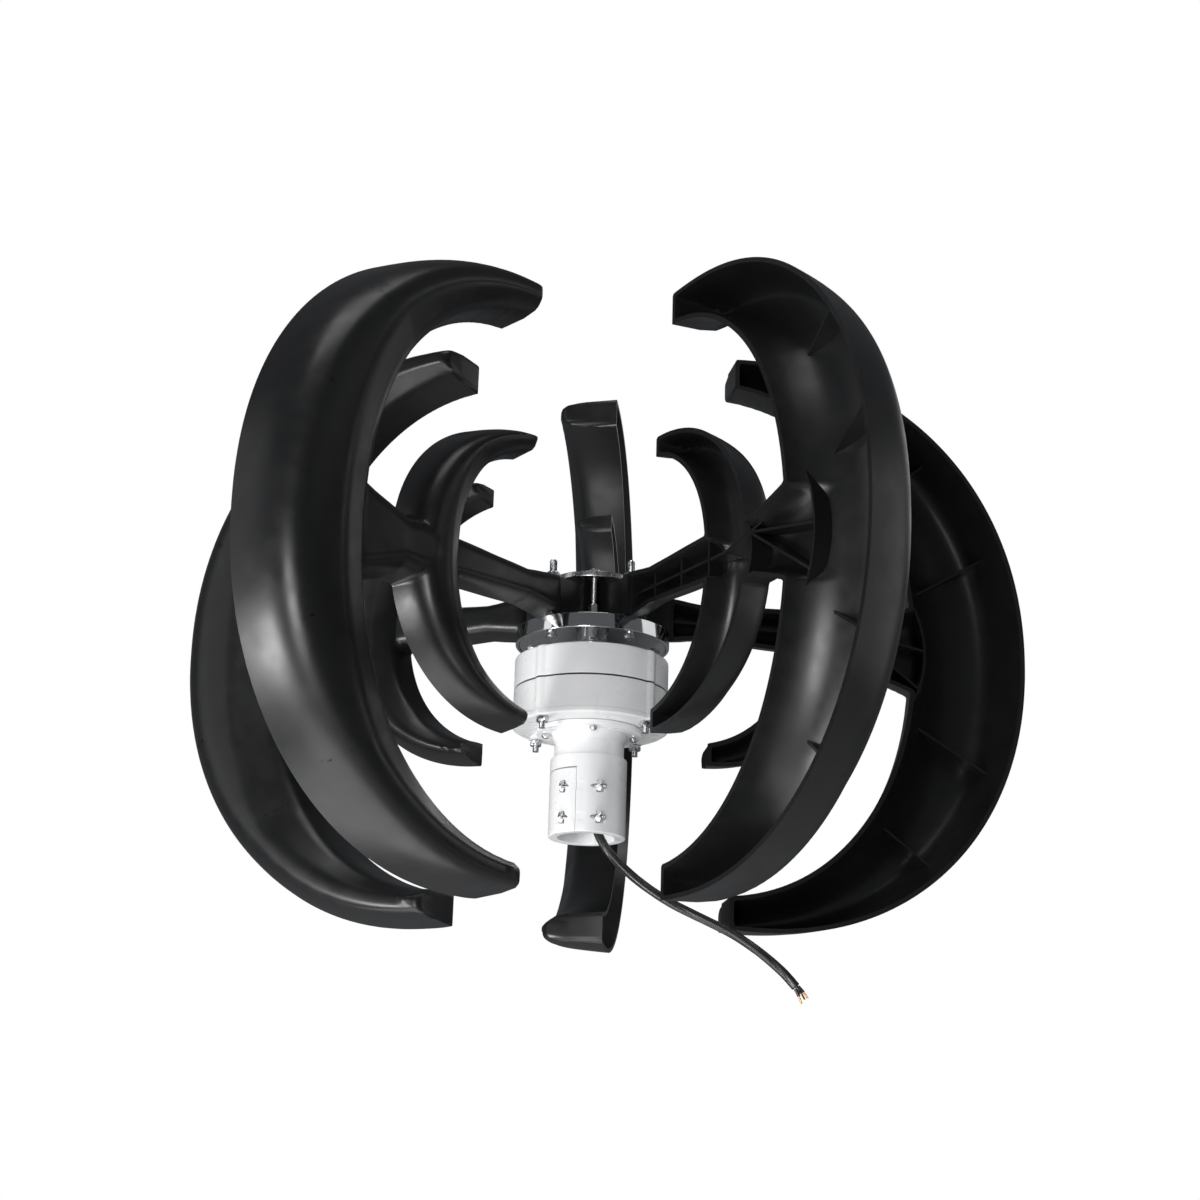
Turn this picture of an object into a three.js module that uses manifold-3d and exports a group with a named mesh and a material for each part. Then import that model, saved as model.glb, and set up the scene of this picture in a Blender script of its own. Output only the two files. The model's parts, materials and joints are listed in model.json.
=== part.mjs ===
// Five-blade vertical axis wind turbine on a clamp-on pole sleeve.
// Millimetres, +Z up. The origin is the centre of the sleeve's lower mouth, where the pole goes in.
import * as THREE from 'three';
import { mergeVertices } from 'three/addons/utils/BufferGeometryUtils.js';
import Module from 'manifold-3d';

const wasm = await Module();
wasm.setup();

// ---------- driving dimensions ----------
const GAP = 0.3;                 // space left between pieces that touch

const BLADES = 5;
const BLADE_AZIMUTH = 12;        // degrees, first blade
const BLADE_PITCH = 360 / BLADES;
const BLADE_WALL = 3.2;
const RIM_T = -3;                // tangential place of every open rim on a blade
const MIDDLE_Z = 170.2;          // mid height of the outer crescent
const FULLNESS = 0.945;          // 1 makes each edge a true ellipse, less makes its shoulders fuller

const OUTER = {                  // big crescent: two ellipses in the blade's own plane
  outer: { r: 136, z: MIDDLE_Z, a: 218.5, b: 232.8 },
  inner: { r: 97, z: MIDDLE_Z, a: 161.5, b: 207 },
  tipRadius: 111,
  tipDraft: 7,
  depth: 51,
  outerDraft: 21,
  innerDraft: 36,
  stations: 16,
};
const INNER = {                  // small crescent
  outer: { r: 92, z: 177, a: 120, b: 114.5 },
  inner: { r: 73, z: 178, a: 88, b: 99.5 },
  tipRadius: 92,
  tipDraft: 6,
  depth: 32,
  outerDraft: 10,
  innerDraft: 18,
  stations: 10,
};
const ARM = { z: 176.5, outline: [[50, 13.5], [172, 18]], depth: 19, draft: 5 };
const ROOT = { start: 14, step: 35, end: 58, low: 160.2, shelf: 190.6, high: 195.9, near: -6, far: 12 };
const NECK = { z: 170, outline: [[182, 26], [206, 24], [222, 23], [252, 33], [286, 47]], depth: 30, draft: 7 };
const FAN = { node: [206, 183], centre: [183, 172], radius: 91, spread: 33, ribs: [-20, 1, 20] };
const STIFFENERS = [[[271, 49], [326, 82]], [[241, 129], [289, 157]]];  // from MIDDLE_Z, both ways

const SLEEVE = { radius: 29, bore: 21.7, neck: 26.4, throat: 19, step: 59.6, flange: 40, flangeLow: 79, top: 82.7 };
const CLAMP = { top: 49, seam: 252 };
const CLAMP_BOLT = { radius: 2, offset: 25.5, half: 20, heights: [11, 34.4] };

const HOUSING = { radius: 58.8, wall: 4, low: 83, seam: 112, high: 137.2, floor: 4.6, roof: 4.4 };
const BOSS = { r: 54.5, radius: 6.2, first: 49.5 };
const SEAT = { radius: 20, bore: 16, lowerTop: 99.5, upperLow: 122.8 };
const BEARING = { inner: 7.8, innerRace: 10.2, outerRace: 13.4, outer: 15.7, width: 9, balls: 8 };
const LOWER_BEARING_Z = 90;
const UPPER_BEARING_Z = 123.5;
const STACK = { low: 101, high: 121, outer: 54.4, bore: 31.5, teeth: 12 };
const SHAFT = { radius: 7.5, low: 88.5, high: 206.8, collar: 13 };

const LOWER_DISC = { radius: 59, low: 148.4, high: 159.8 };
const UPPER_DISC = { radius: 34, low: 196.2, high: 200.4 };
const ARM_BOLT = { r: 50, t: 3, radius: 3, end: 206 };
const HUB_BOLT = { r: 26, lead: 42, radius: 2.4 };

const CABLE_RADIUS = 3.5;
const CABLE_ROUTE = [
  [0, 0, 73], [0, 0, 66], [0, 0, 57], [0.4, -0.1, 47], [1.2, -0.4, 37], [2.5, -0.8, 27],
  [4.4, -1.4, 17], [7.4, -2.3, 6.5], [12.3, -3.7, -3.5], [19, -5.5, -13], [28, -8, -22.6],
  [39, -11, -32.6], [51.5, -14.5, -42], [65, -18.4, -50.5], [79.5, -22.6, -58], [94.5, -27, -65.5],
  [109, -31, -73.5], [122, -34.5, -82.5], [134, -37.5, -92], [144.5, -40, -101.5], [153, -42, -111],
];
const WIRE_ENDS = [
  [[153.3, -43.9, -111.4], [155.2, -44.6, -113.9], [156.9, -45.7, -116.8], [158.8, -46.9, -120.6]],
  [[152.5, -41.3, -112.7], [154.1, -41.5, -115.4], [155.6, -41.7, -118.9], [157.1, -41.7, -123.2]],
  [[154.7, -41.3, -110.7], [156.8, -41.5, -113], [159.1, -41.7, -115.7], [161.6, -41.7, -119.2]],
];

// ---------- materials ----------
function paint(color, roughness, metalness) {
  return new THREE.MeshStandardMaterial({ color, roughness, metalness });
}
const NYLON = paint(0x17181a, 0.42, 0);
const WHITE = paint(0xe9eaeb, 0.35, 0.1);
const CHROME = paint(0xc9ccd0, 0.12, 1);
const STEEL = paint(0xb4b7bb, 0.28, 1);
const RUBBER = paint(0x1d1d1e, 0.75, 0);
const COPPER = paint(0xb4693a, 0.35, 1);
const IRON = paint(0x6d7176, 0.5, 0.9);
const MAGNET = paint(0x9fa3a8, 0.35, 0.9);
const BRASS = paint(0x8f7a3c, 0.4, 0.8);
const VINYL = paint(0x141416, 0.5, 0);

// ---------- solids ----------
function solid(geometry) {
  const bare = geometry.index ? geometry.toNonIndexed() : geometry.clone();
  bare.deleteAttribute('normal');
  bare.deleteAttribute('uv');
  const merged = mergeVertices(bare, 1e-4);
  const kept = [];
  const index = merged.index.array;
  for (let i = 0; i < index.length; i += 3) {
    const [a, b, c] = [index[i], index[i + 1], index[i + 2]];
    if (a !== b && b !== c && a !== c) kept.push(a, b, c);
  }
  return new wasm.Manifold(new wasm.Mesh({
    numProp: 3,
    vertProperties: merged.attributes.position.array,
    triVerts: new Uint32Array(kept),
  }));
}

function shell(manifold) {
  const mesh = manifold.getMesh();
  const geometry = new THREE.BufferGeometry();
  geometry.setAttribute('position', new THREE.BufferAttribute(mesh.vertProperties, 3));
  geometry.setIndex(new THREE.BufferAttribute(mesh.triVerts, 1));
  geometry.computeVertexNormals();
  return geometry;
}

function join(solids) {
  return solids.reduce((all, next) => all.add(next));
}

function place(geometry, x, y, z) {
  geometry.translate(x, y, z);
  return solid(geometry);
}

// A closed [radius, height] profile, counter-clockwise, turned about Z.
function turned(profile, sides) {
  const points = profile.map(([r, z]) => new THREE.Vector2(r, z));
  if (profile[0][0] > 0) points.push(points[0].clone());
  const geometry = new THREE.LatheGeometry(points, sides);
  geometry.rotateX(Math.PI / 2);
  return solid(geometry);
}

function ring(inner, outer, low, high, sides) {
  return turned([[inner, low], [outer, low], [outer, high], [inner, high]], sides);
}

function rod(radius, low, high, sides, x = 0, y = 0) {
  const geometry = new THREE.CylinderGeometry(radius, radius, high - low, sides);
  geometry.rotateX(Math.PI / 2);
  return place(geometry, x, y, (low + high) / 2);
}

function box(x0, x1, y0, y1, z0, z1) {
  const geometry = new THREE.BoxGeometry(x1 - x0, y1 - y0, z1 - z0);
  return place(geometry, (x0 + x1) / 2, (y0 + y1) / 2, (z0 + z1) / 2);
}

function polar(radius, degrees) {
  const angle = THREE.MathUtils.degToRad(degrees);
  return [radius * Math.cos(angle), radius * Math.sin(angle)];
}

function spun(manifold, degrees) {
  return manifold.rotate([0, 0, degrees]);
}

// A thin rib from one point of the blade's plane to another.
function rib(from, to, near, far, thickness) {
  const [r0, z0] = from;
  const [r1, z1] = to;
  const length = Math.hypot(r1 - r0, z1 - z0);
  const geometry = new THREE.BoxGeometry(length, far - near, thickness);
  geometry.rotateY(-Math.atan2(z1 - z0, r1 - r0));
  return place(geometry, (r0 + r1) / 2, (near + far) / 2, (z0 + z1) / 2);
}

// ---------- blade ----------
// One level of a crescent: pairs of points on its outer and inner edge, drawn in by a draft.
function crescentLevel(form, outerIn, innerIn, trim) {
  const fuller = (value) => Math.sign(value) * Math.abs(value) ** FULLNESS;
  const unfuller = (value) => Math.sign(value) * Math.abs(value) ** (1 / FULLNESS);
  const reach = (edge) => Math.acos(unfuller((form.tipRadius + trim - edge.r) / edge.a));
  const level = [];
  for (let i = 0; i <= form.stations; i += 1) {
    const s = 2 * i / form.stations - 1;
    const [o, n] = [form.outer, form.inner].map((edge) => new THREE.Vector2(
      edge.r + edge.a * fuller(Math.cos(s * reach(edge))),
      edge.z + edge.b * fuller(Math.sin(s * reach(edge))),
    ));
    const width = o.distanceTo(n);
    const share = Math.min(1, 0.72 * width / (form.outerDraft + form.innerDraft + 2 * BLADE_WALL));
    level.push([o.clone().lerp(n, outerIn * share / width), n.clone().lerp(o, innerIn * share / width)]);
  }
  return level;
}

// Levels of pairs, stacked along the tangent, closed at both ends.
function stacked(levels, heights) {
  const count = levels[0].length;
  const loop = 2 * count;
  const positions = [];
  levels.forEach((level, k) => {
    const around = [...level.map((pair) => pair[0]), ...level.map((pair) => pair[1]).reverse()];
    around.forEach((p) => positions.push(p.x, heights[k], p.y));
  });
  const index = [];
  const quad = (a, b, c, d) => index.push(a, b, c, a, c, d);
  for (let k = 0; k < levels.length - 1; k += 1) {
    for (let i = 0; i < loop; i += 1) {
      const j = (i + 1) % loop;
      quad(k * loop + i, (k + 1) * loop + i, (k + 1) * loop + j, k * loop + j);
    }
  }
  const last = (levels.length - 1) * loop;
  for (let i = 0; i < count - 1; i += 1) {
    const across = loop - 1 - i;
    quad(i, i + 1, across - 1, across);
    quad(last + i, last + across, last + across - 1, last + i + 1);
  }
  const geometry = new THREE.BufferGeometry();
  geometry.setAttribute('position', new THREE.Float32BufferAttribute(positions, 3));
  geometry.setIndex(index);
  return solid(geometry);
}

// The outside of a crescent tray, or with a wall thickness the space inside it.
function crescent(form, wall) {
  const shoulder = 0.68;
  const open = wall > 0 ? -2 : 0;
  const heights = [RIM_T + open, RIM_T + form.depth * shoulder - wall * 0.4, RIM_T + form.depth - wall];
  const drafts = [[0, 0], [0.35, 0.33], [1, 1]];
  const levels = drafts.map(([o, n]) => (
    crescentLevel(form, form.outerDraft * o + wall, form.innerDraft * n + wall, form.tipDraft * o + wall)
  ));
  return stacked(levels, heights);
}

// The outside of a straight tray along the arm, or with a wall thickness the space inside it.
function strip(form, wall, start) {
  const open = wall > 0 ? -2 : 0;
  const heights = [RIM_T + open, RIM_T + form.depth * 0.6, RIM_T + form.depth - wall];
  const levels = [0, 0.25, 1].map((share) => form.outline.map(([r, half]) => {
    const reach = half - wall - form.draft * share;
    const along = Math.max(r, start);
    return [new THREE.Vector2(along, form.z - reach), new THREE.Vector2(along, form.z + reach)];
  }));
  return stacked(levels, heights);
}

function bladeRibs() {
  const floor = RIM_T + OUTER.depth - BLADE_WALL + 0.5;
  const armFloor = RIM_T + ARM.depth - BLADE_WALL + 0.5;
  const thin = 2.2;
  const ribs = [];
  for (const side of [-1, 1]) {
    for (const [from, to] of STIFFENERS) {
      const [start, end] = [from, to].map(([r, dz]) => [r, MIDDLE_Z + side * dz]);
      ribs.push(rib(start, end, floor - 22, floor, thin));
    }
  }
  ribs.push(rib([ROOT.end - 4, ARM.z], [178, ARM.z], RIM_T + 4, armFloor, thin));
  ribs.push(rib([177, ARM.z], FAN.node, RIM_T + 4, armFloor + 12, thin));
  for (const r of [88, 124, 160]) {
    ribs.push(rib([r, ARM.z - 13], [r, ARM.z + 13], RIM_T + 4, armFloor, thin));
  }
  const arcPoint = (degrees) => {
    const [dr, dz] = polar(FAN.radius, degrees);
    return [FAN.centre[0] + dr, FAN.centre[1] + dz];
  };
  for (const degrees of FAN.ribs) {
    ribs.push(rib(FAN.node, arcPoint(degrees), RIM_T + 13, floor, thin));
  }
  const step = FAN.spread / 3;
  for (let i = -3; i < 3; i += 1) {
    ribs.push(rib(arcPoint(i * step), arcPoint((i + 1) * step), RIM_T + 13, floor, thin));
  }
  return join(ribs);
}

function bladeSolid() {
  const root = box(ROOT.start, ROOT.end, ROOT.near, ROOT.far, ROOT.low, ROOT.shelf)
    .add(box(ROOT.start, ROOT.step, ROOT.near, ROOT.far, ROOT.shelf - 1, ROOT.high));
  const outside = join([
    crescent(OUTER, 0),
    crescent(INNER, 0),
    strip(ARM, 0, 0),
    strip(NECK, 0, 0),
  ]);
  const inside = join([
    crescent(OUTER, BLADE_WALL),
    crescent(INNER, BLADE_WALL),
    strip(ARM, BLADE_WALL, ROOT.end + 3),
    strip(NECK, BLADE_WALL, 0),
  ]);
  const hole = rod(ARM_BOLT.radius + GAP, ROOT.low - 1, ROOT.high + 1, 12, ARM_BOLT.r, ARM_BOLT.t);
  const ribs = bladeRibs().intersect(outside);
  return outside.subtract(inside).add(ribs).add(root).subtract(hole);
}

// ---------- hub ----------
function throughHoles(radius, low, high, circle, first, count) {
  const holes = [];
  for (let i = 0; i < count; i += 1) {
    const [x, y] = polar(circle, first + i * 360 / count);
    holes.push(rod(radius, low, high, 8, x, y));
  }
  return join(holes);
}

const ARM_BOLT_CIRCLE = Math.hypot(ARM_BOLT.r, ARM_BOLT.t);
const ARM_BOLT_FIRST = BLADE_AZIMUTH + THREE.MathUtils.radToDeg(Math.atan2(ARM_BOLT.t, ARM_BOLT.r));
const HUB_BOLT_FIRST = BLADE_AZIMUTH + HUB_BOLT.lead;

function lowerDisc() {
  const { radius, low, high } = LOWER_DISC;
  return ring(SHAFT.radius + GAP, radius, low, high, 32)
    .subtract(throughHoles(ARM_BOLT.radius + GAP, low - 1, high + 1, ARM_BOLT_CIRCLE, ARM_BOLT_FIRST, BLADES))
    .subtract(throughHoles(HUB_BOLT.radius + GAP, low - 1, high + 1, HUB_BOLT.r, HUB_BOLT_FIRST, BLADES));
}

function upperDisc() {
  const { radius, low, high } = UPPER_DISC;
  return ring(SHAFT.radius + GAP, radius, low, high, 24).subtract(
    throughHoles(HUB_BOLT.radius + GAP, low - 1, high + 1, HUB_BOLT.r, HUB_BOLT_FIRST, BLADES),
  );
}

function armBolt() {
  const head = rod(4.4, LOWER_DISC.low - GAP - 3.6, LOWER_DISC.low - GAP, 6);
  return head.add(rod(ARM_BOLT.radius, LOWER_DISC.low - GAP - 1, ARM_BOLT.end, 10));
}

function armNut() {
  const low = ROOT.shelf + GAP;
  return rod(5.6, low, low + 5, 6).subtract(rod(ARM_BOLT.radius + GAP, low - 1, low + 6, 10));
}

function hubBolt() {
  const head = rod(4.4, UPPER_DISC.high + GAP, UPPER_DISC.high + GAP + 2.6, 6);
  const shank = rod(HUB_BOLT.radius, LOWER_DISC.low + 0.5, UPPER_DISC.high + 1, 10);
  const standoff = rod(4.2, LOWER_DISC.high + GAP, LOWER_DISC.high + GAP + 15, 6);
  return join([shank, head, standoff]);
}

function shaft() {
  const { radius, low, high, collar } = SHAFT;
  return turned([
    [0, low], [radius - 1, low], [radius, low + 1],
    [radius, HOUSING.high + 1.4], [collar, HOUSING.high + 1.4],
    [collar, LOWER_DISC.low - GAP], [radius, LOWER_DISC.low - GAP],
    [radius, high - 1], [radius - 1, high], [0, high],
  ], 16);
}

function shaftNut() {
  const low = UPPER_DISC.high + GAP;
  return rod(12.5, low, low + 5, 6).subtract(rod(SHAFT.radius + GAP, low - 1, low + 9, 20));
}

// ---------- generator ----------
function bossColumns(low, high) {
  const columns = [];
  for (let i = 0; i < 4; i += 1) {
    const [x, y] = polar(BOSS.r, BOSS.first + 90 * i);
    columns.push(rod(BOSS.radius, low, high, 8, x, y));
  }
  return join(columns);
}

const HOUSING_BOLT_RADIUS = 2.5;
const SCREW_CIRCLE = 33.5;
const SCREW_RADIUS = 1.6;

function housingBoltHoles() {
  return throughHoles(HOUSING_BOLT_RADIUS + GAP, HOUSING.low - 1, HOUSING.high - 3, BOSS.r, BOSS.first, 4);
}

function lowerHousing() {
  const { radius, wall, low, seam, floor } = HOUSING;
  const inner = radius - wall;
  const cup = turned([
    [6.3, low], [radius - 1.2, low], [radius + 0.6, low + 1.2], [radius + 0.6, low + 4.4],
    [radius, low + 5], [radius, seam - GAP], [inner, seam - GAP], [inner, low + floor],
    [SEAT.radius, low + floor], [SEAT.radius, SEAT.lowerTop], [SEAT.bore, SEAT.lowerTop],
    [SEAT.bore, LOWER_BEARING_Z - 0.2], [12.5, LOWER_BEARING_Z - 0.2], [12.5, low + floor], [6.3, low + floor],
  ], 32);
  const leadSlot = box(10, 30, -4, 4, low + floor, low + floor + 6);
  return cup
    .add(bossColumns(low, seam - GAP))
    .subtract(leadSlot)
    .subtract(housingBoltHoles())
    .subtract(throughHoles(SCREW_RADIUS + GAP, low - 1, low + 3.4, SCREW_CIRCLE, BOSS.first + 45, 4));
}

function upperHousing() {
  const { radius, wall, seam, high, roof } = HOUSING;
  const inner = radius - wall;
  const low = seam + 1;
  const cup = turned([
    [inner, low], [radius, low], [radius, high - 2], [radius - 2, high], [12.3, high],
    [12.3, high - roof], [SEAT.bore, high - roof], [SEAT.bore, SEAT.upperLow],
    [SEAT.radius, SEAT.upperLow], [SEAT.radius, high - roof - 0.3], [inner, high - roof - 0.3],
  ], 32);
  return cup.add(bossColumns(low, high - 1)).subtract(housingBoltHoles());
}

function gasket() {
  const low = HOUSING.seam;
  const high = HOUSING.seam + 1 - GAP;
  const flat = ring(HOUSING.radius - HOUSING.wall, HOUSING.radius - 0.3, low, high, 32);
  return flat.add(bossColumns(low, high)).subtract(housingBoltHoles());
}

function housingBolt() {
  const nut = rod(4.7, HOUSING.low - GAP - 4.2, HOUSING.low - GAP, 6);
  return nut.add(rod(HOUSING_BOLT_RADIUS, HOUSING.low - 9, HOUSING.high - 4, 10));
}

function flangeScrew() {
  const low = SLEEVE.flangeLow;
  return rod(3, low - GAP - 3, low - GAP, 10).add(rod(SCREW_RADIUS, low - 1, HOUSING.low + 3, 8));
}

function statorCore() {
  const { low, high, outer, bore, teeth } = STACK;
  const yoke = ring(46, outer, low, high, 36);
  const parts = [yoke];
  for (let i = 0; i < teeth; i += 1) {
    const stem = box(36, 47.5, -3.2, 3.2, low, high);
    const shoe = box(bore + 1, 36.5, -6.4, 6.4, low, high);
    parts.push(spun(stem.add(shoe), i * 360 / teeth));
  }
  const bossRelief = throughHoles(BOSS.radius + GAP + 0.2, low - 1, high + 1, BOSS.r, BOSS.first, 4);
  return join(parts).subtract(rod(bore, low - 1, high + 1, 24)).subtract(bossRelief);
}

function winding(low, high) {
  return ring(36, 44, low, high, 24);
}

function bearingCage(low) {
  const pitch = (BEARING.innerRace + BEARING.outerRace) / 2;
  const middle = low + BEARING.width / 2;
  const parts = [ring(pitch - 0.6, pitch + 0.6, middle - 3, middle + 3, 12)];
  for (let i = 0; i < BEARING.balls; i += 1) {
    const [x, y] = polar(pitch, i * 360 / BEARING.balls);
    parts.push(place(new THREE.SphereGeometry(1.3, 6, 3), x, y, middle));
  }
  return join(parts);
}

// ---------- pole sleeve and clamp ----------
function clampBand(margin) {
  const low = -1 - margin;
  const band = ring(SLEEVE.bore - 3, SLEEVE.radius + 3, low, CLAMP.top + margin, 28);
  const half = box(-margin, 60, -60, 60, low - 1, CLAMP.top + margin + 1);
  return spun(band.intersect(half), CLAMP.seam - 90);
}

// A clamp bolt lies across a seam of the split sleeve, along a chord of its wall.
function chordRod(radius, half, z, side, sides) {
  const geometry = new THREE.CylinderGeometry(radius, radius, 2 * half, sides);
  const bolt = place(geometry, CLAMP_BOLT.offset, 0, z);
  return spun(bolt, CLAMP.seam + 4 + side);
}

function chordHoles() {
  const holes = [];
  for (const side of [0, 180]) {
    for (const z of CLAMP_BOLT.heights) {
      holes.push(chordRod(CLAMP_BOLT.radius + GAP, CLAMP_BOLT.half + 4, z, side, 12));
    }
  }
  return join(holes);
}

function sleeveBody() {
  const { radius, bore, neck, throat, step, flange, flangeLow, top } = SLEEVE;
  return turned([
    [bore, 0], [radius - 0.8, 0], [radius, 0.8], [radius, step - 1], [radius - 1, step],
    [neck, step + 0.6], [neck, 70], [neck + 1, 75], [neck + 2.6, flangeLow],
    [flange, flangeLow], [flange, top], [9, top], [9, flangeLow - 1.5], [throat, flangeLow - 1.5],
    [throat, step + 0.6], [bore, step - 1.4],
  ], 28);
}

function poleSleeve() {
  return sleeveBody()
    .subtract(clampBand(GAP / 2))
    .subtract(chordHoles())
    .subtract(throughHoles(SCREW_RADIUS + GAP, SLEEVE.flangeLow - 1, SLEEVE.top + 1,
      SCREW_CIRCLE, BOSS.first + 45, 4));
}

function clampHalf() {
  return sleeveBody().intersect(clampBand(-GAP / 2)).subtract(chordHoles());
}

// ---------- cable ----------
function tube(points, radius, sides, steps) {
  const section = new THREE.Shape();
  for (let i = 0; i < sides; i += 1) {
    const [x, y] = polar(radius, (i + 0.5) * 360 / sides);
    if (i === 0) section.moveTo(x, y);
    else section.lineTo(x, y);
  }
  const path = new THREE.CatmullRomCurve3(points.map((p) => new THREE.Vector3(...p)));
  return solid(new THREE.ExtrudeGeometry(section, { steps, extrudePath: path, bevelEnabled: false }));
}

function cableGland() {
  const low = CABLE_ROUTE[0][2] + GAP;
  return turned([
    [0, low], [5, low], [5.6, low + 2], [5.6, 80.8], [6, 81], [6, 88], [0, 88],
  ], 20);
}

// ---------- assembly ----------
const turbine = new THREE.Group();
const rotor = new THREE.Group();
turbine.add(rotor);

function addTo(group, name, manifold, material) {
  const mesh = new THREE.Mesh(shell(manifold), material);
  mesh.name = name;
  group.add(mesh);
  return mesh;
}

function addAround(group, name, manifold, material, circle, first, count) {
  for (let i = 0; i < count; i += 1) {
    const [x, y] = polar(circle, first + i * 360 / count);
    const mesh = addTo(group, `${name}_${i + 1}`, manifold, material);
    mesh.position.set(x, y, 0);
  }
}

addTo(turbine, 'pole_sleeve', poleSleeve(), WHITE);
addTo(turbine, 'clamp_half', clampHalf(), WHITE);
[0, 180].forEach((side, i) => CLAMP_BOLT.heights.forEach((z, k) => {
  const bolt = chordRod(CLAMP_BOLT.radius, CLAMP_BOLT.half, z, side, 12);
  addTo(turbine, `clamp_bolt_${2 * i + k + 1}`, bolt, STEEL);
}));
addTo(turbine, 'lower_housing', lowerHousing(), WHITE);
addTo(turbine, 'upper_housing', upperHousing(), WHITE);
addTo(turbine, 'housing_gasket', gasket(), RUBBER);
addAround(turbine, 'housing_bolt', housingBolt(), STEEL, BOSS.r, BOSS.first, 4);
addAround(turbine, 'flange_screw', flangeScrew(), STEEL, SCREW_CIRCLE, BOSS.first + 45, 4);
addTo(turbine, 'stator_core', statorCore(), IRON);
addTo(turbine, 'lower_winding', winding(STACK.low - 7.4, STACK.low - GAP), COPPER);
addTo(turbine, 'upper_winding', winding(STACK.high + GAP, STACK.high + 7.4), COPPER);
for (const [name, low] of [['lower', LOWER_BEARING_Z], ['upper', UPPER_BEARING_Z]]) {
  const high = low + BEARING.width;
  addTo(turbine, `${name}_bearing_outer_ring`, ring(BEARING.outerRace, BEARING.outer, low, high, 20), STEEL);
  addTo(rotor, `${name}_bearing_inner_ring`, ring(BEARING.inner, BEARING.innerRace, low, high, 20), STEEL);
  addTo(turbine, `${name}_bearing_cage`, bearingCage(low), BRASS);
}
addTo(turbine, 'shaft_seal', ring(SHAFT.radius + GAP, 12, HOUSING.high - 4.2, HOUSING.high - 0.2, 20), RUBBER);
addTo(turbine, 'cable_gland', cableGland(), VINYL);
addTo(turbine, 'power_cable', tube(CABLE_ROUTE, CABLE_RADIUS, 8, 30), VINYL);
WIRE_ENDS.forEach((route, i) => addTo(turbine, `wire_end_${i + 1}`, tube(route, 1.2, 6, 4), COPPER));

addTo(rotor, 'shaft', shaft(), STEEL);
addTo(rotor, 'rotor_core', ring(SHAFT.radius + GAP, 25, STACK.low, STACK.high, 24), IRON);
addTo(rotor, 'magnet_ring', ring(25 + GAP, 30.3, STACK.low, STACK.high, 24), MAGNET);
addTo(rotor, 'lower_hub_disc', lowerDisc(), CHROME);
addTo(rotor, 'upper_hub_disc', upperDisc(), STEEL);
addTo(rotor, 'shaft_nut', shaftNut(), STEEL);
const blade = bladeSolid();
for (let i = 0; i < BLADES; i += 1) {
  addTo(rotor, `blade_${i + 1}`, spun(blade, BLADE_AZIMUTH + i * BLADE_PITCH), NYLON);
}
addAround(rotor, 'arm_bolt', armBolt(), STEEL, ARM_BOLT_CIRCLE, ARM_BOLT_FIRST, BLADES);
addAround(rotor, 'arm_nut', armNut(), STEEL, ARM_BOLT_CIRCLE, ARM_BOLT_FIRST, BLADES);
addAround(rotor, 'hub_bolt', hubBolt(), STEEL, HUB_BOLT.r, HUB_BOLT_FIRST, BLADES);

export default turbine;
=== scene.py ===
"""Vertical axis wind turbine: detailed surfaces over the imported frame.

Lengths are in millimetres until a mesh is made, except the camera, the lights and the floor.
"""

import json
import math

import bpy
import numpy as np
from mathutils import Matrix, Vector


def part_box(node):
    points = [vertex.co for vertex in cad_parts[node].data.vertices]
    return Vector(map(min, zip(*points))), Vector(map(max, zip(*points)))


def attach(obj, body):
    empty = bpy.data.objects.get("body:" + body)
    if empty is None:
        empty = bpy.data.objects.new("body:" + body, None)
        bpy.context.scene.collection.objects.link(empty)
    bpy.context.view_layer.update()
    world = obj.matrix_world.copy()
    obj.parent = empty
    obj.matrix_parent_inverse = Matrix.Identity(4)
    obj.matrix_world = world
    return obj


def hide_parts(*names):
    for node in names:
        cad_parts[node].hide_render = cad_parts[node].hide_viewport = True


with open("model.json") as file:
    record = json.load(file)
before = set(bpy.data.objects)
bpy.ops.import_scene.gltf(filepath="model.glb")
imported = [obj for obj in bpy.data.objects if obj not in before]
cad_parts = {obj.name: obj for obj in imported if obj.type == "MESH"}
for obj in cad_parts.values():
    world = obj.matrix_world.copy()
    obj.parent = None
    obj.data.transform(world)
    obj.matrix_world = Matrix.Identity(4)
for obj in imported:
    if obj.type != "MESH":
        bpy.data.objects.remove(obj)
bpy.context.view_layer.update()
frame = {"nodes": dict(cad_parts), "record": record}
MM = 0.001
SCENE = bpy.context.scene
SCENE.view_settings.view_transform = "Standard"

# ---------- camera ----------
camera_data = bpy.data.cameras.new("camera")
camera_data.lens = 65.08
camera_data.sensor_width = 36
camera_data.shift_x = 0.0060
camera_data.shift_y = 0.0261
camera_data.clip_end = 50
camera = bpy.data.objects.new("camera", camera_data)
SCENE.collection.objects.link(camera)
PITCH = math.radians(16.7)
ROLL = math.radians(1.75)
camera.matrix_world = (
    Matrix.Translation((0, -1.6007, -0.318))
    @ Matrix.Rotation(math.pi / 2 + PITCH, 4, "X")
    @ Matrix.Rotation(ROLL, 4, "Z")
)
SCENE.camera = camera


# ---------- materials ----------
NOISE_LOW, NOISE_HIGH = 0.3, 0.7


def node_material(name):
    material = bpy.data.materials.new(name)
    material.use_nodes = True
    tree = material.node_tree
    shader = tree.nodes["Principled BSDF"]
    return material, tree, shader


def noise(tree, scale, detail, stretch):
    place = tree.nodes.new("ShaderNodeTexCoord")
    mapping = tree.nodes.new("ShaderNodeMapping")
    mapping.inputs["Scale"].default_value = stretch
    texture = tree.nodes.new("ShaderNodeTexNoise")
    texture.inputs["Scale"].default_value = scale
    texture.inputs["Detail"].default_value = detail
    tree.links.new(place.outputs["Object"], mapping.inputs["Vector"])
    tree.links.new(mapping.outputs["Vector"], texture.inputs["Vector"])
    return texture.outputs["Fac"]


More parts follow.
